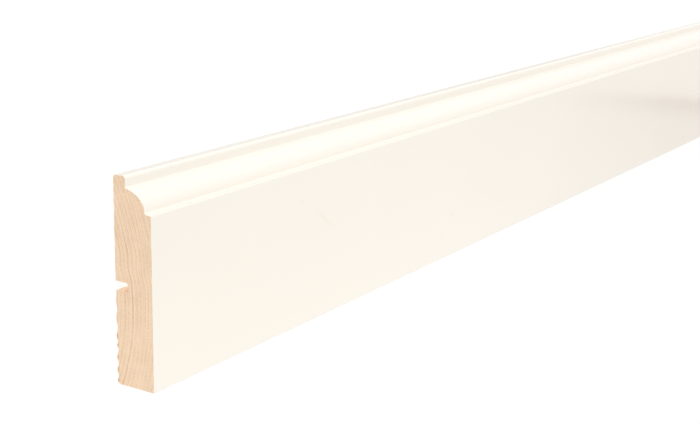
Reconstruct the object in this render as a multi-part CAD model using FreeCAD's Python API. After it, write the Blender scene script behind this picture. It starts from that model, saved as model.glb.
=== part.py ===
import FreeCAD, Part
import math
import os

# A length of skirting board, machined from one piece of pine and cut square at both ends.
# All sizes are in millimetres. It lies on its back with the moulded face up:
# X runs along the board, Y from the floor edge to the bead, Z out from the wall.

# The board
length = 2400.0
height = 95.0
thickness = 21.0

# The bead along the top edge
bead_width = 7.0
bead_rise = 5.2
bead_front_radius = 1.5
bead_back_radius = 1.8

# The ovolo below the bead: a stretch of an ellipse, upright where it starts on a short riser
ovolo_half_height = 9.05
ovolo_centre_in_bead = 4.0
ovolo_riser = 1.3

# The fillet that parts the ovolo from the flat face
fillet_depth = 3.5
fillet_arris_radius = 0.6

# The floor edge
floor_front_radius = 0.5
floor_back_radius = 1.5

# The relief groove sawn along the back, which lets the board lie tight to an uneven wall
groove_height = 43.6
groove_width = 4.0
groove_depth = 7.0
groove_end_radius = 1.2
groove_lip_radius = 0.8


def section_point(up, out):
    """A point of the section, up from the floor edge and out from the back."""
    return FreeCAD.Vector(-length / 2, up - height / 2, out)


def rounded_path(corners):
    """Straight edges through the corners, each corner rounded by its own radius, or sharp at 0."""
    edges = []
    last = corners[0][0]
    for (before, _), (corner, radius), (after, _) in zip(corners, corners[1:], corners[2:]):
        if radius == 0:
            edges.append(Part.makeLine(last, corner))
            last = corner
            continue
        to_before = (before - corner).normalize()
        to_after = (after - corner).normalize()
        half_angle = to_before.getAngle(to_after) / 2
        inward = (to_before + to_after).normalize()
        start = corner + to_before * (radius / math.tan(half_angle))
        middle = corner + inward * (radius / math.sin(half_angle) - radius)
        end = corner + to_after * (radius / math.tan(half_angle))
        edges.append(Part.makeLine(last, start))
        edges.append(Part.Arc(start, middle, end).toShape())
        last = end
    edges.append(Part.makeLine(last, corners[-1][0]))
    return edges


def ovolo_curve(centre, half_width, half_height, foot_angle):
    """The ellipse's arc from straight out of its centre, at the riser, to the angle of the bead's foot."""
    out_end = centre + FreeCAD.Vector(0, 0, half_width)
    up_end = centre + FreeCAD.Vector(0, half_height, 0)
    if half_width > half_height:
        return Part.ArcOfEllipse(Part.Ellipse(out_end, up_end, centre), 0, foot_angle).toShape()
    quarter = math.pi / 2
    return Part.ArcOfEllipse(Part.Ellipse(up_end, out_end, centre), quarter - foot_angle, quarter).toShape()


def section_outline():
    """The closed outline: bead, back with its groove, floor edge, face, fillet and ovolo."""
    ovolo_half_width = thickness - fillet_depth - bead_width + ovolo_centre_in_bead
    foot_angle = math.acos(ovolo_centre_in_bead / ovolo_half_width)
    bead_foot = height - bead_rise
    ovolo_centre = bead_foot - ovolo_half_height * math.sin(foot_angle)
    fillet = ovolo_centre - ovolo_riser
    fillet_out = thickness - fillet_depth
    groove_top = groove_height + groove_width

    corners = [
        (section_point(bead_foot, bead_width), 0),
        (section_point(height, bead_width), bead_front_radius),
        (section_point(height, 0), bead_back_radius),
        (section_point(groove_top, 0), 0),
        (section_point(groove_top, groove_depth), groove_end_radius),
        (section_point(groove_height, groove_depth), groove_end_radius),
        (section_point(groove_height, 0), groove_lip_radius),
        (section_point(0, 0), floor_back_radius),
        (section_point(0, thickness), floor_front_radius),
        (section_point(fillet, thickness), fillet_arris_radius),
        (section_point(fillet, fillet_out), 0),
        (section_point(ovolo_centre, fillet_out), 0),
    ]
    centre = section_point(ovolo_centre, bead_width - ovolo_centre_in_bead)
    ovolo = ovolo_curve(centre, ovolo_half_width, ovolo_half_height, foot_angle)
    return Part.Wire(rounded_path(corners) + [ovolo])


section = Part.Face(section_outline())
skirting_board = section.extrude(FreeCAD.Vector(length, 0, 0))

os.makedirs("parts", exist_ok=True)
skirting_board.exportStep("parts/skirting_board.step")

box = skirting_board.BoundBox
print("skirting_board", skirting_board.isValid(), "faces", len(skirting_board.Faces))
print("box", box.XLength, box.YLength, box.ZLength, "volume", skirting_board.Volume)
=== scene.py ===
import math

import bpy
import numpy as np
from mathutils import Matrix, Vector
from mathutils.geometry import delaunay_2d_cdt


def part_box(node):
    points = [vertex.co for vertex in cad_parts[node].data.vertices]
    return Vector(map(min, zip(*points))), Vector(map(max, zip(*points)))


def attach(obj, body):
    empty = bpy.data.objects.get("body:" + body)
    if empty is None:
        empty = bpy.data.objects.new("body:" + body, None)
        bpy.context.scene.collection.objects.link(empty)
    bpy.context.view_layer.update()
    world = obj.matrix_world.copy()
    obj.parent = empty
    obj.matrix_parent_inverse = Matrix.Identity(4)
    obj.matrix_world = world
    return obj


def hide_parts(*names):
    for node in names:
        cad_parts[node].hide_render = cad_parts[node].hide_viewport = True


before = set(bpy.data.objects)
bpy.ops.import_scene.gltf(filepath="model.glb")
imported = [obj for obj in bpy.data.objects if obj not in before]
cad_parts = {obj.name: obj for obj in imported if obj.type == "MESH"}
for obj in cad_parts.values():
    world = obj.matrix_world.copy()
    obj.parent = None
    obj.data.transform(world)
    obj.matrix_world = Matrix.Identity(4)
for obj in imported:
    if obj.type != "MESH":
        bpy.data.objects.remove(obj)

scene = bpy.context.scene
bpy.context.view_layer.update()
low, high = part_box("skirting_board")
mm = 0.001

# The board lies on its back: X runs along it, Y from the floor edge to the bead, Z out through the face.
# Sections are worked out in mm, up from the floor edge and out from the back.


def linearColour(hexColour):
    # sRGB to linear light: c / 12.92 up to 0.04045, above it ((c + 0.055) / 1.055) to the power 2.4
    parts = [int(hexColour[i:i + 2], 16) / 255 for i in (0, 2, 4)]
    parts = [c / 12.92 if c <= 0.04045 else ((c + 0.055) / 1.055) ** 2.4 for c in parts]
    return (*parts, 1.0)


def addNode(tree, kind, settings=None, inputs=None, stops=None):
    # settings go on the node, inputs take a value or another node's output, stops are a ramp's (place, hex)
    node = tree.nodes.new("ShaderNode" + kind)
    for name, value in (settings or {}).items():
        setattr(node, name, value)
    for key, value in (inputs or {}).items():
        if isinstance(value, bpy.types.NodeSocket):
            tree.links.new(value, node.inputs[key])
        else:
            node.inputs[key].default_value = value
    if stops:
        elements = node.color_ramp.elements
        while len(elements) < len(stops):
            elements.new(0.5)   # moved to its own place below
        for element, (place, colour) in zip(elements, stops):
            element.position = place
            element.color = linearColour(colour)
    return node


def newMaterial(name):
    # a material with an empty node tree
    material = bpy.data.materials.new(name)
    material.use_nodes = True
    material.node_tree.nodes.clear()
    return material, material.node_tree


# the camera

cameraSettings = dict(
    place=(-1.61815, 0.17794, 0.38635),   # m
    target=(-1.0453, 0.0019, 0.0210),
    roll=1.117,            # degrees
    lens=69.82,            # mm
    sensorWidth=36.0,      # mm
    clipStart=0.01,        # m, nothing nearer is drawn
)


def makeCamera(s):
    # looks from place to target with the board's +Y up in the picture, then rolls
    place = Vector(s["place"])
    forward = (Vector(s["target"]) - place).normalized()
    level = forward.cross(Vector((0, 1, 0))).normalized()
    roll = math.radians(s["roll"])
    right = level * math.cos(roll) + level.cross(forward) * math.sin(roll)
    data = bpy.data.cameras.new("camera")
    data.lens = s["lens"]
    data.sensor_width = s["sensorWidth"]
    data.clip_start = s["clipStart"]
    camera = bpy.data.objects.new("camera", data)
    turn = Matrix((right, right.cross(forward), -forward)).transposed()
    camera.matrix_world = Matrix.Translation(place) @ turn.to_4x4()
    scene.collection.objects.link(camera)
    scene.camera = camera


makeCamera(cameraSettings)
print("camera made")


# the board: one closed mesh, its section carried along X and both sawn ends filled

boardSettings = dict(
    # the section, mm
    height=95.0,
    thickness=21.0,
    beadWidth=7.0,
    beadRise=5.2,
    beadFrontRadius=1.5,
    beadBackRadius=1.8,
    ovoloHalfHeight=9.05,
    ovoloCentreInBead=4.0,
    ovoloRiser=1.3,
    filletDepth=3.5,
    filletRadius=0.6,
    floorFrontRadius=0.5,
    floorBackRadius=1.5,
    grooveHeight=43.6,
    grooveWidth=4.0,
    grooveDepth=7.0,
    grooveEndRadius=1.2,
    grooveLipRadius=0.8,
    beadPool=0.7,          # radius of the paint gathered at the bead's foot
    filletPool=1.0,        # and in the fillet's inner corner

    # where the paint stops, mm
    paintEdge=0.45,        # how far out from the back, on the two long edges
    bareBeside=4.0,        # all is bare wood within this of the groove's middle
    bareOut=8.0,           # and this of the back

    # how closely the shape is drawn
    sideStep=0.45,         # mm between points on a straight side
    arcStep=10,            # degrees between points on a round
    arcLeast=3,            # steps that even a slight round has
    ovoloPoints=40,        # points on the ovolo
    ovoloLeftOut=3,        # the last of them, left to the paint gathered at the bead's foot
    capStep=0.7,           # mm between points inside a sawn end
    stationStep=25,        # mm between sections along the middle
    endStations=(0, 0.12, 0.3, 0.55, 0.9, 1.4, 2.0, 2.8, 3.8, 5.0, 6.5, 8.5, 12, 18),   # mm in from an end
    sharpAngle=28,         # degrees between two faces from which their edge isn't smoothed over

    # wear at both sawn ends, mm
    arrisEase=0.12,        # what the saw took off the arris
    arrisLength=0.3,       # how far in from the end
    filmFall=0.07,         # how far the paint's face falls away towards the cut
    filmLength=2.6,        # from how far in
    filmStart=5.0,         # how far out from the back that face starts
    filmBlend=2.0,         # over what width it comes in

    # the near end's back arris, mm
    tearDepth=0.75,        # how far the torn wood stands back from the wall plane
    tearLength=3.2,        # how far in from the end the tear runs
    tearOut=1.2,           # how far out from the back
    raggedMean=0.75,       # share of that depth that the tear has on average
    raggedSwing=0.25,      # and by how much it wanders
    raggedWaves=(6, 1.1, 9.0),   # how many sines make it wander, the shortest and the longest
    calmShare=0.35,        # share of that depth in the upper half, which tore less
    calmHeight=42.0,       # where it calms down
    calmBlend=3.0,         # and over what height
    seed=4,                # of the sines

    # tufts of fibre that still reach the wall plane there: height and half width, mm
    tufts=[(1.8, 1.1), (6.8, 1.6), (12.6, 1.3), (18.2, 0.7), (22.5, 1.7), (30.5, 2.6), (38.5, 2.2),
           (55.0, 4.0), (62.5, 0.8), (72.0, 5.0), (83.0, 0.9), (87.3, 0.9), (91.3, 0.8)],
    tuftWidest=2.0,        # a narrower tuft is coloured as torn wood with painted shade
    tuftHighest=45.0,      # if it stands lower than this

    # where the torn wood is coloured, partly as painted shade, and where painted light pales the groove, mm
    tornAndShadeIn=1.2,            # how far in from the end the torn colour and its painted shade run out
    tornAndShadeOut=0.8,           # how far out from the back
    lipTearAndShade=0.8,           # how far down from the groove's lower lip, where it paints the lip's tear and shade
    paintedLightRamp=1.5,           # how far in from each end the groove has little of its painted light yet
    hair=0.1,              # what counts as still on the groove's wall
)


def roundedOutline(corners, s):
    # each corner becomes centre + radius * (cos a, sin a) between the points where the round meets its sides
    pieces = []
    for i, (corner, radius) in enumerate(corners):
        corner = np.array(corner, float)
        if radius == 0:
            pieces.append(corner[None])
            continue
        toLast = np.array(corners[i - 1][0], float) - corner
        toNext = np.array(corners[(i + 1) % len(corners)][0], float) - corner
        toLast /= np.linalg.norm(toLast)
        toNext /= np.linalg.norm(toNext)
        half = math.acos(toLast @ toNext) / 2
        inward = (toLast + toNext) / np.linalg.norm(toLast + toNext)
        centre = corner + inward * radius / math.sin(half)
        ends = np.array([toLast, toNext]) * radius / math.tan(half) + corner - centre
        first, last = np.arctan2(ends[:, 1], ends[:, 0])
        sweep = (last - first + math.pi) % (2 * math.pi) - math.pi
        steps = max(s["arcLeast"], round(math.degrees(abs(sweep)) / s["arcStep"]))
        angles = first + np.linspace(0, sweep, steps + 1)
        pieces.append(centre + radius * np.stack([np.cos(angles), np.sin(angles)], 1))
    return np.concatenate(pieces)


def steppedSides(rough, step):
    # every side of a closed outline cut into equal steps: start + side * k / count
    nextPoints = np.roll(rough, -1, axis=0)
    counts = np.maximum(1, np.ceil(np.linalg.norm(nextPoints - rough, axis=1) / step)).astype(int)
    start = np.repeat(rough, counts, axis=0)
    side = np.repeat(nextPoints - rough, counts, axis=0)
    first = np.repeat(np.cumsum(counts) - counts, counts)
    share = (np.arange(counts.sum()) - first) / np.repeat(counts, counts)
    return start + side * share[:, None]


def sectionOutline(s):
    # closed (up, out) points: bead, back and groove, floor edge, face, fillet, then the ovolo, which is
    # up = centre + halfHeight * sin t, out = centre + halfWidth * cos t
    halfWidth = s["thickness"] - s["filletDepth"] - s["beadWidth"] + s["ovoloCentreInBead"]
    footAngle = math.acos(s["ovoloCentreInBead"] / halfWidth)
    beadFoot = s["height"] - s["beadRise"]
    ovoloCentre = beadFoot - s["ovoloHalfHeight"] * math.sin(footAngle)
    fillet = ovoloCentre - s["ovoloRiser"]
    filletOut = s["thickness"] - s["filletDepth"]
    grooveTop = s["grooveHeight"] + s["grooveWidth"]
    corners = [
        ((beadFoot, s["beadWidth"]), s["beadPool"]),
        ((s["height"], s["beadWidth"]), s["beadFrontRadius"]),
        ((s["height"], 0), s["beadBackRadius"]),
        ((grooveTop, 0), 0),
        ((grooveTop, s["grooveDepth"]), s["grooveEndRadius"]),
        ((s["grooveHeight"], s["grooveDepth"]), s["grooveEndRadius"]),
        ((s["grooveHeight"], 0), s["grooveLipRadius"]),
        ((0, 0), s["floorBackRadius"]),
        ((0, s["thickness"]), s["floorFrontRadius"]),
        ((fillet, s["thickness"]), s["filletRadius"]),
        ((fillet, filletOut), s["filletPool"]),
        ((ovoloCentre, filletOut), 0),
    ]
    t = np.linspace(0, footAngle, s["ovoloPoints"])[1:-s["ovoloLeftOut"]]
    ups = ovoloCentre + s["ovoloHalfHeight"] * np.sin(t)
    outs = s["beadWidth"] - s["ovoloCentreInBead"] + halfWidth * np.cos(t)
    corners += [(point, 0) for point in zip(ups, outs)]
    return steppedSides(roundedOutline(corners, s), s["sideStep"])


def outwardNormals(outline):
    # the chord from the point before to the point after, turned a quarter to the left, as the outline
    # runs clockwise seen with up to the right and out upwards
    chord = np.roll(outline, -1, axis=0) - np.roll(outline, 1, axis=0)
    chord /= np.linalg.norm(chord, axis=1)[:, None]
    return np.stack([-chord[:, 1], chord[:, 0]], 1)


def wave(place, seed, count, shortest, longest):
    # a seeded sum of weight * sin(2 pi place / length + phase) between two lengths, about -1 to 1
    random = np.random.default_rng(seed)
    lengths = np.geomspace(shortest, longest, count)
    phases = random.uniform(0, 2 * math.pi, count)
    weights = np.sqrt(lengths / lengths.sum())
    return (weights * np.sin(2 * math.pi * place[:, None] / lengths + phases)).sum(1)


def tornDepth(up, s):
    # how far the near end's back arris is torn back, mm: deeper low down, none where a tuft is left
    ragged = s["raggedMean"] + s["raggedSwing"] * wave(up, s["seed"], *s["raggedWaves"])
    calm = s["calmShare"] + (1 - s["calmShare"]) / (1 + np.exp((up - s["calmHeight"]) / s["calmBlend"]))
    left = sum(np.exp(-((up - place) / half) ** 4) for place, half in s["tufts"])
    return s["tearDepth"] * ragged * calm * (1 - np.clip(left, 0, 1))


def carriedSections(outline, stations, s):
    # every section is the outline, drawn in along its normals by the worn arris and the paint's fall, each
    # depth * (1 - d / length)^2 at d from an end, and lifted off the wall by the tear * exp(-(d / length)^2)
    fromEnd = np.minimum(stations - low[0], high[0] - stations) / mm
    ease = s["arrisEase"] * np.clip(1 - fromEnd / s["arrisLength"], 0, 1) ** 2
    film = s["filmFall"] * np.clip(1 - fromEnd / s["filmLength"], 0, 1) ** 2
    front = np.clip((outline[:, 1] - s["filmStart"]) / s["filmBlend"], 0, 1)
    drawnIn = ease[:, None] + film[:, None] * front
    points = outline - drawnIn[..., None] * outwardNormals(outline)
    nearEnd = np.exp(-((stations - low[0]) / mm / s["tearLength"]) ** 2)
    onBack = np.sqrt(np.clip(1 - outline[:, 1] / s["tearOut"], 0, 1))
    points[..., 1] += nearEnd[:, None] * tornDepth(outline[:, 0], s) * onBack
    x = np.broadcast_to(stations[:, None], points.shape[:2])
    return np.stack([x, low[1] + points[..., 0] * mm, low[2] + points[..., 1] * mm], -1)


def pointsInside(section, step):
    # an even grid of points inside the outline, by the even-odd rule, kept half a step clear of its edge
    axes = [np.arange(section[:, k].min() + step / 2, section[:, k].max(), step) for k in (0, 1)]
    grid = np.stack(np.meshgrid(*axes, indexing="ij"), -1).reshape(-1, 2)
    side = np.roll(section, -1, axis=0) - section
    toGrid = grid[:, None] - section
    crosses = (section[:, 1] > grid[:, 1:2]) != (section[:, 1] + side[:, 1] > grid[:, 1:2])
    run = np.where(side[:, 1] == 0, 1, side[:, 1])
    hits = crosses & (toGrid[..., 0] < side[:, 0] * toGrid[..., 1] / run)
    along = np.clip((toGrid * side).sum(-1) / (side ** 2).sum(-1), 0, 1)
    gap = np.linalg.norm(toGrid - along[..., None] * side, axis=-1).min(1)
    return grid[(hits.sum(1) % 2 == 1) & (gap > step / 2)]


def filledOutline(section, inside):
    # triangles over the outline's points and those inside it, numbered in that order
    around = list(range(len(section)))
    edges = list(zip(around, around[1:] + around[:1]))
    flat = [Vector(point) for point in np.concatenate([section, inside])]
    insideOnly = 1         # the kind of result that leaves out what lies outside the outline
    closeness = 1e-9       # m, points nearer than this are one
    return np.array(delaunay_2d_cdt(flat, edges, [around], insideOnly, closeness)[2])


def facing(verts, faces, outwards):
    # turns each triangle of an end so that its normal runs along outwards, +1 or -1, on X
    a, b, c = (verts[faces[:, k], 1:] for k in range(3))
    area = (b[:, 0] - a[:, 0]) * (c[:, 1] - a[:, 1]) - (b[:, 1] - a[:, 1]) * (c[:, 0] - a[:, 0])
    return np.where((area * outwards < 0)[:, None], faces[:, ::-1], faces)


def bareStrips(outline, s):
    # which sides of the outline are bare wood: those on the back and in the groove
    ups, outs = ((outline + np.roll(outline, -1, axis=0)) / 2).T
    beside = abs(ups - s["grooveHeight"] - s["grooveWidth"] / 2)
    return (outs < s["paintEdge"]) | (beside < s["bareBeside"]) & (outs < s["bareOut"])


def tornWoodAndShade(fromNear, up, out, s):
    # how torn the wood is and how much painted shade lies on it, 0 to 1: exp(-(d / reach)^2) away from
    # the near end and from the back, times the same away from a narrow tuft low down or from the groove's
    # lower lip
    narrow = [tuft for tuft in s["tufts"] if tuft[1] < s["tuftWidest"]]
    tuft = np.clip(sum(np.exp(-((up - place) / half) ** 2) for place, half in narrow), 0, 1)
    lip = np.exp(-((up - s["grooveHeight"]) / s["lipTearAndShade"]) ** 2) * (up < s["grooveHeight"] + s["hair"])
    nearArris = np.exp(-(fromNear / s["tornAndShadeIn"]) ** 2) * np.exp(-(out / s["tornAndShadeOut"]) ** 2)
    return nearArris * np.clip(tuft * (up < s["tuftHighest"]) + lip, 0, 1)


def paintedGrooveLightMask(fromEnd, up, out, s):
    # how much painted light pales the groove's walls, 0 to 1: in the groove 1 - exp(-(d / reach)^2) at d
    # from an end, and none elsewhere
    beside = abs(up - s["grooveHeight"] - s["grooveWidth"] / 2)
    inGroove = (beside < s["grooveWidth"] / 2 + s["hair"]) * (out < s["grooveDepth"] + s["hair"])
    return (1 - np.exp(-(fromEnd / s["paintedLightRamp"]) ** 2)) * inGroove


def setValues(mesh, name, values):
    # one value for each vertex, for a material to read
    mesh.attributes.new(name, "FLOAT", "POINT").data.foreach_set("value", values.astype(np.float32))


def makeBoard(s):
    # sections close together at both ends and evenly spaced between them
    outline = sectionOutline(s)
    ring = len(outline)
    nearStations = low[0] + np.array(s["endStations"]) * mm
    farStations = high[0] - np.array(s["endStations"])[::-1] * mm
    count = round((high[0] - low[0]) / mm / s["stationStep"])
    middle = np.linspace(nearStations[-1], farStations[0], count)
    stations = np.concatenate([nearStations[:-1], middle, farStations[1:]])
    rings = carriedSections(outline, stations, s)

    # quads between neighbouring sections
    i = np.arange(ring)
    j = np.roll(i, -1)
    row = np.arange(len(stations) - 1)[:, None] * ring
    quads = np.stack([row + i, row + ring + i, row + ring + j, row + j], -1).reshape(-1, 4)

    # both ends: the outline and a grid of points inside it, in triangles
    verts = rings.reshape(-1, 3)
    triangles = []
    for station, outwards in ((0, -1), (len(stations) - 1, 1)):
        section = rings[station][:, 1:]
        inside = pointsInside(section, s["capStep"] * mm)
        cap = filledOutline(section, inside)
        cap = np.where(cap < ring, cap + station * ring, cap - ring + len(verts))
        verts = np.concatenate([verts, np.column_stack([np.full(len(inside), stations[station]), inside])])
        triangles.append(facing(verts, cap, outwards))
    triangles = np.concatenate(triangles)
    mesh = bpy.data.meshes.new("board")
    mesh.from_pydata(verts.tolist(), [], quads.tolist() + triangles.tolist())
    mesh.update()

    # slot 0 is the painted face and long edges, slot 1 the bare wood of the back, the groove and the ends
    bareQuads = np.tile(bareStrips(outline, s), len(stations) - 1)
    slots = np.concatenate([bareQuads, np.ones(len(triangles), bool)])
    mesh.polygons.foreach_set("material_index", slots.astype(np.int32))
    mesh.shade_smooth()
    mesh.set_sharp_from_angle(angle=math.radians(s["sharpAngle"]))

    fromNear = (verts[:, 0] - low[0]) / mm
    fromEnd = np.minimum(fromNear, (high[0] - verts[:, 0]) / mm)
    up, out = (verts[:, 1] - low[1]) / mm, (verts[:, 2] - low[2]) / mm
    # torn fibre's colour, with painted shade on the burrs and along the groove's lower lip
    setValues(mesh, "tornAndShade", tornWoodAndShade(fromNear, up, out, s))
    # painted light that pales the groove's walls, where the floor keeps the light out
    setValues(mesh, "paintedGrooveLight", paintedGrooveLightMask(fromEnd, up, out, s))

    board = bpy.data.objects.new("board", mesh)
    scene.collection.objects.link(board)
    triangleCount = len(quads) * 2 + len(triangles)
    print("board made:", ring, "points round,", len(stations), "sections,", triangleCount, "triangles")
    return board


board = makeBoard(boardSettings)
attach(board, "root")
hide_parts("skirting_board")


# satin primer enamel, sprayed in the factory over filled pine: warm white and even, with a hard clear sheen
# that shows only at a low angle, where it mirrors what stands behind

paintSettings = dict(
    colours=[(0.35, "FAF3E5"), (0.65, "FBF4E6")],   # the first where the film sank a little more
    roughness=0.34,
    ior=1.5,
    specular=0.25,         # half of a bare surface's, as the clear sheen lies over it
    sheen=0.8,             # share of the surface that flowed out smooth
    sheenRoughness=0.09,
    patch=70.0,            # mm across the faint patches in the film
    peel=1.8,              # mm across the spray's orange peel, drawn coarser than real so that it shows
    planer=1.6,            # mm between the cutter's faint lines along the board
    planerRun=100.0,       # mm along one of them before it changes
    relief=0.00001,        # m, the depth of the peel and the lines
    reliefStrength=0.3,

    # faint marks on the face: along from the near end, up, half length and half width in mm, lean in degrees,
    # strength
    scuffs=[
        (131, 51, 13, 2.4, -34, 0.19),
        (267, 25, 3.2, 1.6, 0, 0.28),
        (255, 13, 2.2, 1.6, 0, 0.26),
        (111, 64, 2.0, 1.6, 0, 0.20),
    ],
    scuffDepth=2.0,        # mm, so that none reaches the back
    scuffColour="E6D9C6",
)


def satinEnamel(s):
    material, tree = newMaterial("satin sprayed enamel")
    place = addNode(tree, "TexCoord").outputs["Object"]
    inMm = addNode(tree, "Mapping", inputs={"Vector": place, "Scale": (1 / mm, 1 / mm, 1 / mm)}).outputs[0]
    patches = addNode(tree, "TexNoise", inputs={"Vector": inMm, "Scale": 1 / s["patch"], "Detail": 2.0})
    colour = addNode(tree, "ValToRGB", inputs={0: patches.outputs[0]}, stops=s["colours"])

    # each scuff fades evenly from its middle: strength * (1 - distance in its own stretched space)
    worn = 0.0
    for along, up, halfLength, halfWidth, lean, strength in s["scuffs"]:
        own = addNode(tree, "Mapping", {"vector_type": "TEXTURE"}, {
            "Vector": inMm, "Location": (low[0] / mm + along, low[1] / mm + up, high[2] / mm),
            "Rotation": (0, 0, math.radians(lean)), "Scale": (halfLength, halfWidth, s["scuffDepth"])})
        mark = addNode(tree, "TexGradient", {"gradient_type": "SPHERICAL"}, {"Vector": own.outputs[0]})
        worn = addNode(tree, "Math", {"operation": "MULTIPLY_ADD"}, {
            0: mark.outputs["Fac"], 1: strength, 2: worn}).outputs[0]
    film = addNode(tree, "Mix", {"data_type": "RGBA"}, {
        0: worn, 6: colour.outputs[0], 7: linearColour(s["scuffColour"])})

    # the relief is the sum of the peel and of lines drawn out along the board
    peel = addNode(tree, "TexNoise", inputs={"Vector": inMm, "Scale": 1 / s["peel"], "Detail": 2.0})
    drawn = addNode(tree, "Mapping", inputs={
        "Vector": inMm, "Scale": (1 / s["planerRun"], 1 / s["planer"], 1 / s["planer"])})
    lines = addNode(tree, "TexNoise", inputs={"Vector": drawn.outputs[0], "Scale": 1.0, "Detail": 2.0})
    height = addNode(tree, "Math", {"operation": "ADD"}, {0: peel.outputs[0], 1: lines.outputs[0]})
    bump = addNode(tree, "Bump", inputs={
        "Strength": s["reliefStrength"], "Distance": s["relief"], "Height": height.outputs[0]})
    shader = addNode(tree, "BsdfPrincipled", inputs={
        "Base Color": film.outputs[2], "Roughness": s["roughness"], "IOR": s["ior"],
        "Specular IOR Level": s["specular"], "Coat Weight": s["sheen"], "Coat Roughness": s["sheenRoughness"],
        "Normal": bump.outputs[0]})
    addNode(tree, "OutputMaterial", inputs={"Surface": shader.outputs[0]})
    return material


# knot-free redwood pine, sawn and planed: pale earlywood that darkens to a thin amber line of latewood in
# each ring, about a pith that lay behind the board

pineSettings = dict(
    early="FFE1C1",
    late="E8B884",
    # a darker brown: torn fibre, and painted shade on the burrs and along the groove's lower lip
    tornAndShade="D3A06A",
    # painted light: a paler colour for the groove's walls
    paintedGrooveLight="FFF4E6",
    paintedLightShare=0.5,          # how far the painted light in the groove hides the wood's own colour
    roughness=0.75,
    ior=1.4,

    # the rings
    pith=(-8.5, -101.8),   # mm, the heart's place across the board: Y, Z
    ringWidth=2.2,         # mm
    firstRing=102.35,      # mm, radius at which the count of rings starts
    wander=0.7,            # mm that a ring strays
    wanderRun=400.0,       # mm along the board over which it does
    wanderAcross=14.0,     # mm across it
    dent=(7.5, 4.5, 1.1),  # mm: the dent in the rings, its place on Y, half width and depth
    unevenness=0.6,        # rings that the spacing wanders by
    unevenPace=0.45,       # how often it does in a ring
    profile=[(0.0, "000000"), (0.45, "404040"), (0.75, "9A9A9A"), (0.86, "FFFFFF"), (0.95, "FFFFFF"),
             (1.0, "000000")],   # how far each ring darkens, from its first wood to its last
    strengths={"To Min": 0.14, "To Max": 0.66},   # between which the rings' latewood varies
    darkYear=4.0,          # the count of the one ring with strong latewood
    darkFading={"From Min": 12, "From Max": 24, "To Min": 0.9, "To Max": 0.25},   # its strength by Y in mm
    fit=7.0,               # mm along a ring over which its latewood comes and goes
    fitRun=300.0,          # mm along the board
    fitAcross=0.3,         # share of that pace at which it changes on Z, across the rings
    # that noise, and the share of the darkness that it leaves
    fitRange={"From Min": 0.3, "From Max": 0.7, "To Min": 0.1, "To Max": 1.25},

    # the cut fibres
    cell=0.5,              # mm across their mottle, drawn coarser than real so that it shows
    cellRun=25.0,          # mm along the board
    cloud=5.0,             # mm across the soft patches in it
    cloudRun=60.0,         # mm along the board
    paceOnY=0.6,           # share of the pace on Z at which both change on Y, along the rings
    falseRings=3.0,        # faint lines in each ring
    mottleWeight=2.3,      # how strong the mottle is against the patches and the false rings
    paling=0.0016,         # added to their sum with each mm towards the floor edge, which makes the wood paler there
    # that sum, and how bright it leaves the wood
    shading={"From Min": 1.75, "From Max": 2.55, "To Min": 0.91, "To Max": 1.09},
    ridge=0.6,             # how far the latewood stands proud, against the mottle
    relief=0.0001,         # m, the depth of both
    reliefStrength=0.5,
)


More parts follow.
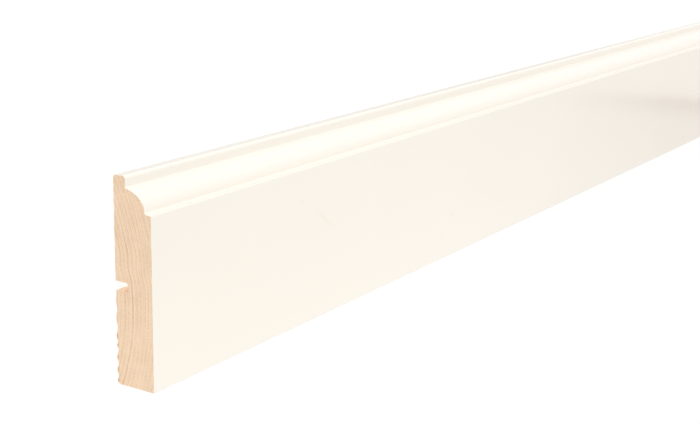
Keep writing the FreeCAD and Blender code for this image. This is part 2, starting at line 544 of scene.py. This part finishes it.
def pine(s):
    material, tree = newMaterial("sawn pine")
    place = addNode(tree, "TexCoord").outputs["Object"]
    inMm = addNode(tree, "Mapping", inputs={"Vector": place, "Scale": (1 / mm, 1 / mm, 1 / mm)}).outputs[0]

    # how far each point is from the heart, with a slow stray that is drawn out along the board
    pithY, pithZ = s["pith"]
    across = addNode(tree, "Mapping", inputs={
        "Vector": place, "Scale": (0, 1 / mm, 1 / mm), "Location": (0, -pithY, -pithZ)})
    radius = addNode(tree, "VectorMath", {"operation": "LENGTH"}, {0: across.outputs[0]}).outputs["Value"]
    slow = addNode(tree, "Mapping", inputs={
        "Vector": inMm, "Scale": (1 / s["wanderRun"], 1 / s["wanderAcross"], 1 / s["wanderAcross"])})
    stray = addNode(tree, "TexNoise", inputs={"Vector": slow.outputs[0], "Scale": 1.0, "Detail": 2.0})
    stray = addNode(tree, "MapRange", inputs={
        "Value": stray.outputs[0], "To Min": -s["wander"], "To Max": s["wander"]})
    radius = addNode(tree, "Math", {"operation": "ADD"}, {0: radius, 1: stray.outputs[0]}).outputs[0]

    # the dent adds depth * exp(-((y - place) / halfWidth)^2) to the radius
    dentPlace, dentHalf, dentDepth = s["dent"]
    up = addNode(tree, "SeparateXYZ", inputs={0: inMm}).outputs["Y"]
    fall = addNode(tree, "Math", {"operation": "SUBTRACT"}, {0: up, 1: dentPlace}).outputs[0]
    fall = addNode(tree, "Math", {"operation": "DIVIDE"}, {0: fall, 1: dentHalf}).outputs[0]
    fall = addNode(tree, "Math", {"operation": "MULTIPLY"}, {0: fall, 1: fall}).outputs[0]
    fall = addNode(tree, "Math", {"operation": "MULTIPLY"}, {0: fall, 1: -1.0}).outputs[0]
    fall = addNode(tree, "Math", {"operation": "EXPONENT"}, {0: fall}).outputs[0]
    radius = addNode(tree, "Math", {"operation": "MULTIPLY_ADD"}, {
        0: fall, 1: dentDepth, 2: radius}).outputs[0]

    # rings: (radius - firstRing) / width, made uneven by a one-way noise; each darkens to its latewood
    fromFirst = addNode(tree, "Math", {"operation": "SUBTRACT"}, {0: radius, 1: s["firstRing"]}).outputs[0]
    years = addNode(tree, "Math", {"operation": "DIVIDE"}, {0: fromFirst, 1: s["ringWidth"]}).outputs[0]
    weather = addNode(tree, "TexNoise", {"noise_dimensions": "1D"}, {
        "W": years, "Scale": s["unevenPace"], "Detail": 1.0})
    years = addNode(tree, "Math", {"operation": "MULTIPLY_ADD"}, {
        0: weather.outputs[0], 1: 2 * s["unevenness"], 2: years}).outputs[0]
    ring = addNode(tree, "Math", {"operation": "FRACT"}, {0: years}).outputs[0]
    latewood = addNode(tree, "ValToRGB", inputs={0: ring}, stops=s["profile"])

    # each ring's latewood is stronger or weaker, and one is much the strongest until it fades higher up
    number = addNode(tree, "Math", {"operation": "FLOOR"}, {0: years}).outputs[0]
    luck = addNode(tree, "TexWhiteNoise", {"noise_dimensions": "1D"}, {"W": number}).outputs["Value"]
    strength = addNode(tree, "MapRange", inputs={"Value": luck, **s["strengths"]}).outputs[0]
    strongest = addNode(tree, "MapRange", inputs={"Value": up, **s["darkFading"]}).outputs[0]
    chosen = addNode(tree, "Math", {"operation": "COMPARE"}, {
        0: number, 1: s["darkYear"], 2: 0.5}).outputs[0]   # 1 within half a ring of that count
    strongest = addNode(tree, "Math", {"operation": "MULTIPLY"}, {0: strongest, 1: chosen}).outputs[0]
    strength = addNode(tree, "Math", {"operation": "MAXIMUM"}, {0: strength, 1: strongest}).outputs[0]
    darkness = addNode(tree, "Math", {"operation": "MULTIPLY"}, {
        0: latewood.outputs[0], 1: strength}).outputs[0]

    # and comes and goes along the ring
    fits = addNode(tree, "Mapping", inputs={
        "Vector": inMm, "Scale": (1 / s["fitRun"], 1 / s["fit"], s["fitAcross"] / s["fit"])})
    fit = addNode(tree, "TexNoise", inputs={
        "Vector": fits.outputs[0], "Scale": 1.0, "Detail": 3.0, "Roughness": 0.7})
    fit = addNode(tree, "MapRange", inputs={"Value": fit.outputs[0], **s["fitRange"]})
    darkness = addNode(tree, "Math", {"operation": "MULTIPLY"}, {0: darkness, 1: fit.outputs[0]}).outputs[0]
    colour = addNode(tree, "Mix", {"data_type": "RGBA"}, {
        0: darkness, 6: linearColour(s["early"]), 7: linearColour(s["late"])})

    # the cut fibres' mottle, drawn out along the grain, over softer patches and faint false rings
    fine = addNode(tree, "Mapping", inputs={
        "Vector": inMm, "Scale": (1 / s["cellRun"], s["paceOnY"] / s["cell"], 1 / s["cell"])})
    mottle = addNode(tree, "TexNoise", inputs={
        "Vector": fine.outputs[0], "Scale": 1.0, "Detail": 2.0, "Roughness": 0.6})
    soft = addNode(tree, "Mapping", inputs={
        "Vector": inMm, "Scale": (1 / s["cloudRun"], s["paceOnY"] / s["cloud"], 1 / s["cloud"])})
    cloud = addNode(tree, "TexNoise", inputs={"Vector": soft.outputs[0], "Scale": 1.0, "Detail": 2.0})
    falseRings = addNode(tree, "TexNoise", {"noise_dimensions": "1D"}, {
        "W": years, "Scale": s["falseRings"], "Detail": 2.0})
    grain = addNode(tree, "Math", {"operation": "MULTIPLY_ADD"}, {
        0: mottle.outputs[0], 1: s["mottleWeight"], 2: cloud.outputs[0]})
    grain = addNode(tree, "Math", {"operation": "ADD"}, {0: grain.outputs[0], 1: falseRings.outputs[0]})
    grain = addNode(tree, "Math", {"operation": "MULTIPLY_ADD"}, {
        0: up, 1: -s["paling"], 2: grain.outputs[0]})
    shade = addNode(tree, "MapRange", inputs={"Value": grain.outputs[0], **s["shading"]})
    wood = addNode(tree, "VectorMath", {"operation": "SCALE"}, {
        0: colour.outputs[2], "Scale": shade.outputs[0]})

    # painted light that pales the groove, and torn fibre's colour with painted shade, lie over it, where the
    # mesh says how much
    paintedGrooveLight = addNode(tree, "Attribute", {"attribute_name": "paintedGrooveLight"}).outputs["Fac"]
    paintedGrooveLight = addNode(tree, "Math", {"operation": "MULTIPLY"}, {0: paintedGrooveLight, 1: s["paintedLightShare"]}).outputs[0]
    wood = addNode(tree, "Mix", {"data_type": "RGBA"}, {
        0: paintedGrooveLight, 6: wood.outputs[0], 7: linearColour(s["paintedGrooveLight"])})
    tornAndShade = addNode(tree, "Attribute", {"attribute_name": "tornAndShade"}).outputs["Fac"]
    wood = addNode(tree, "Mix", {"data_type": "RGBA"}, {
        0: tornAndShade, 6: wood.outputs[2], 7: linearColour(s["tornAndShade"])})

    ridge = addNode(tree, "Math", {"operation": "MULTIPLY_ADD"}, {
        0: darkness, 1: s["ridge"], 2: mottle.outputs[0]})
    bump = addNode(tree, "Bump", inputs={
        "Strength": s["reliefStrength"], "Distance": s["relief"], "Height": ridge.outputs[0]})
    shader = addNode(tree, "BsdfPrincipled", inputs={
        "Base Color": wood.outputs[2], "Roughness": s["roughness"], "IOR": s["ior"],
        "Normal": bump.outputs[0]})
    addNode(tree, "OutputMaterial", inputs={"Surface": shader.outputs[0]})
    return material


board.data.materials.append(satinEnamel(paintSettings))
board.data.materials.append(pine(pineSettings))
print("materials made")


# floor, world and lamps

studioSettings = dict(
    floorHalf=8.0,         # m from its middle to each side
    floorLit=0.2,          # share of the floor's white that the lamps make, which holds the shadow
    floorGlow=0.85,        # the rest, only in what the camera and reflections see
    floorLight=0.785,      # what the board gets from the floor, as even as from a light table
    air=0.72,              # strength of the even light from all round
    lamps={                # place, target and size in m, power in W and tint
        # high beyond the bead, and the only one that the sheen mirrors
        "softbox": ((-1.3, 1.8, 1.1), (-0.8, 0.0, 0.0), (2.8, 1.4), 26.1, "EEF3FF"),
        # low beside the floor edge, near the near end
        "bounce": ((-1.15, -0.2, 0.12), (-1.15, 0.0, 0.02), (0.7, 0.12), 0.195, "FFFFFF"),
        # over the middle of the board, as faint as light thrown back by a warm wall
        "warmth": ((-0.3, -0.05, 0.5), (-0.4, 0.0, 0.0), (0.5, 0.3), 0.11, "FF8A3C"),
        # lies in the groove and lightens its walls
        "strip": ((0.0, -0.0019, 0.0002), (0.0, -0.0019, 0.01), (2.39, 0.0036), 0.028, "FFFFFF"),
    },
)


def seenRays(tree):
    # 1 for the rays that show a background: from the camera, in a reflection and through glass
    path = addNode(tree, "LightPath").outputs
    seen = addNode(tree, "Math", {"operation": "MAXIMUM"}, {
        0: path["Is Camera Ray"], 1: path["Is Glossy Ray"]})
    seen = addNode(tree, "Math", {"operation": "MAXIMUM"}, {
        0: seen.outputs[0], 1: path["Is Transmission Ray"]})
    return seen.outputs[0]


def stageSheet(name, corners, material):
    # one flat sheet of the set, its pattern running 0 to 1 from its first corner along both sides
    mesh = bpy.data.meshes.new(name)
    mesh.from_pydata(corners, [], [(0, 1, 2, 3)])
    mesh.uv_layers.new().data.foreach_set("uv", [0, 0, 1, 0, 1, 1, 0, 1])
    mesh.materials.append(material)
    sheet = bpy.data.objects.new(name, mesh)
    scene.collection.objects.link(sheet)
    return sheet


def makeFloor(s):
    # lit + glow where it is seen, and only its even light for the board
    material, tree = newMaterial("white floor")
    lit = addNode(tree, "BsdfDiffuse", inputs={"Color": (s["floorLit"],) * 3 + (1,)})
    glow = addNode(tree, "Emission", inputs={"Strength": s["floorGlow"]})
    white = addNode(tree, "AddShader", inputs={0: lit.outputs[0], 1: glow.outputs[0]})
    table = addNode(tree, "Emission", inputs={"Strength": s["floorLight"]})
    mixed = addNode(tree, "MixShader", inputs={0: seenRays(tree), 1: table.outputs[0], 2: white.outputs[0]})
    addNode(tree, "OutputMaterial", inputs={"Surface": mixed.outputs[0]})
    half = s["floorHalf"]
    stageSheet("floor", [(-half, -half, 0), (half, -half, 0), (half, half, 0), (-half, half, 0)], material)


def makeWorld(s):
    # white where it is seen, and its even light for the board
    world = bpy.data.worlds.new("studio")
    world.use_nodes = True
    tree = world.node_tree
    tree.nodes.clear()
    air = addNode(tree, "Background", inputs={"Color": (1, 1, 1, 1), "Strength": s["air"]})
    white = addNode(tree, "Background", inputs={"Color": (1, 1, 1, 1), "Strength": 1.0})
    mixed = addNode(tree, "MixShader", inputs={0: seenRays(tree), 1: air.outputs[0], 2: white.outputs[0]})
    addNode(tree, "OutputWorld", inputs={"Surface": mixed.outputs[0]})
    scene.world = world


def makeLamps(s):
    # flat rectangles of light, each turned from its place to its target
    for name, (place, target, size, power, tint) in s["lamps"].items():
        data = bpy.data.lights.new(name, "AREA")
        data.shape = "RECTANGLE"
        data.size, data.size_y = size
        data.energy = power
        data.color = linearColour(tint)[:3]
        lamp = bpy.data.objects.new(name, data)
        lamp.location = place
        lamp.rotation_euler = (Vector(target) - Vector(place)).to_track_quat("-Z", "Y").to_euler()
        lamp.visible_camera = False
        lamp.visible_glossy = name == "softbox"
        scene.collection.objects.link(lamp)


makeFloor(studioSettings)
makeWorld(studioSettings)
makeLamps(studioSettings)


# two sheets that only the sheen mirrors: the flag, beyond the far end, leaves a dull warm band in it, and the
# card on the floor stands in for the board's shadow in what the top edge mirrors

flagSettings = dict(
    place=(3.03, -0.62, 1.30),   # m, the middle of its top edge
    size=(1.0, 0.34),      # m
    turn=19.5,             # degrees that it is turned from facing along X
    colour="6A4A1C",
    across=[(0.05, "000000"), (0.28, "BCBCBC"), (0.48, "FFFFFF")],
    down=[(0.0, "000000"), (0.5, "7C7C7C"), (0.8, "959595"), (0.93, "FFFFFF"), (1.0, "FFFFFF")],
)

cardSettings = dict(
    gap=0.0004,            # m from the board's top edge to its near side
    reach=0.007,           # and to its far side
    lift=0.0001,           # m over the floor
    colour="6A4A1C",
    across=[(0.1, "000000"), (0.8, "A0A0A0")],
    down=[(0.2, "FFFFFF"), (0.32, "A0A0A0")],
)


def flagCorners(s):
    # hung along -Y, down in the picture, and turned about that line from facing along X
    turn = math.radians(s["turn"])
    width, height = s["size"]
    side = Vector((math.sin(turn), 0, -math.cos(turn))) * width / 2
    drop = Vector((0, -height, 0))
    top = Vector(s["place"])
    return [top + drop - side, top + drop + side, top + side, top - side]


def cardCorners(s):
    # flat over the floor along the board's top edge
    near, far, lift = high[1] + s["gap"], high[1] + s["reach"], s["lift"]
    return [(low[0], far, lift), (low[0], near, lift), (high[0], near, lift), (high[0], far, lift)]


def makeFlag(name, corners, s):
    # a sheet of one colour that only reflections see, covering across * down of what is behind it: a ramp
    # along its first side and one along its second
    material, tree = newMaterial(name)
    uv = addNode(tree, "SeparateXYZ", inputs={0: addNode(tree, "TexCoord").outputs["UV"]})
    across = addNode(tree, "ValToRGB", inputs={0: uv.outputs["X"]}, stops=s["across"])
    down = addNode(tree, "ValToRGB", inputs={0: uv.outputs["Y"]}, stops=s["down"])
    cover = addNode(tree, "Math", {"operation": "MULTIPLY"}, {0: down.outputs[0], 1: across.outputs[0]})
    clear = addNode(tree, "BsdfTransparent")
    dull = addNode(tree, "Emission", inputs={"Color": linearColour(s["colour"])})
    mixed = addNode(tree, "MixShader", inputs={0: cover.outputs[0], 1: clear.outputs[0], 2: dull.outputs[0]})
    addNode(tree, "OutputMaterial", inputs={"Surface": mixed.outputs[0]})
    flag = stageSheet(name, corners, material)
    flag.visible_camera = False
    flag.visible_diffuse = False
    flag.visible_shadow = False


makeFlag("brown flag", flagCorners(flagSettings), flagSettings)
makeFlag("shadow card", cardCorners(cardSettings), cardSettings)
scene.view_settings.view_transform = "Standard"
print("studio made")
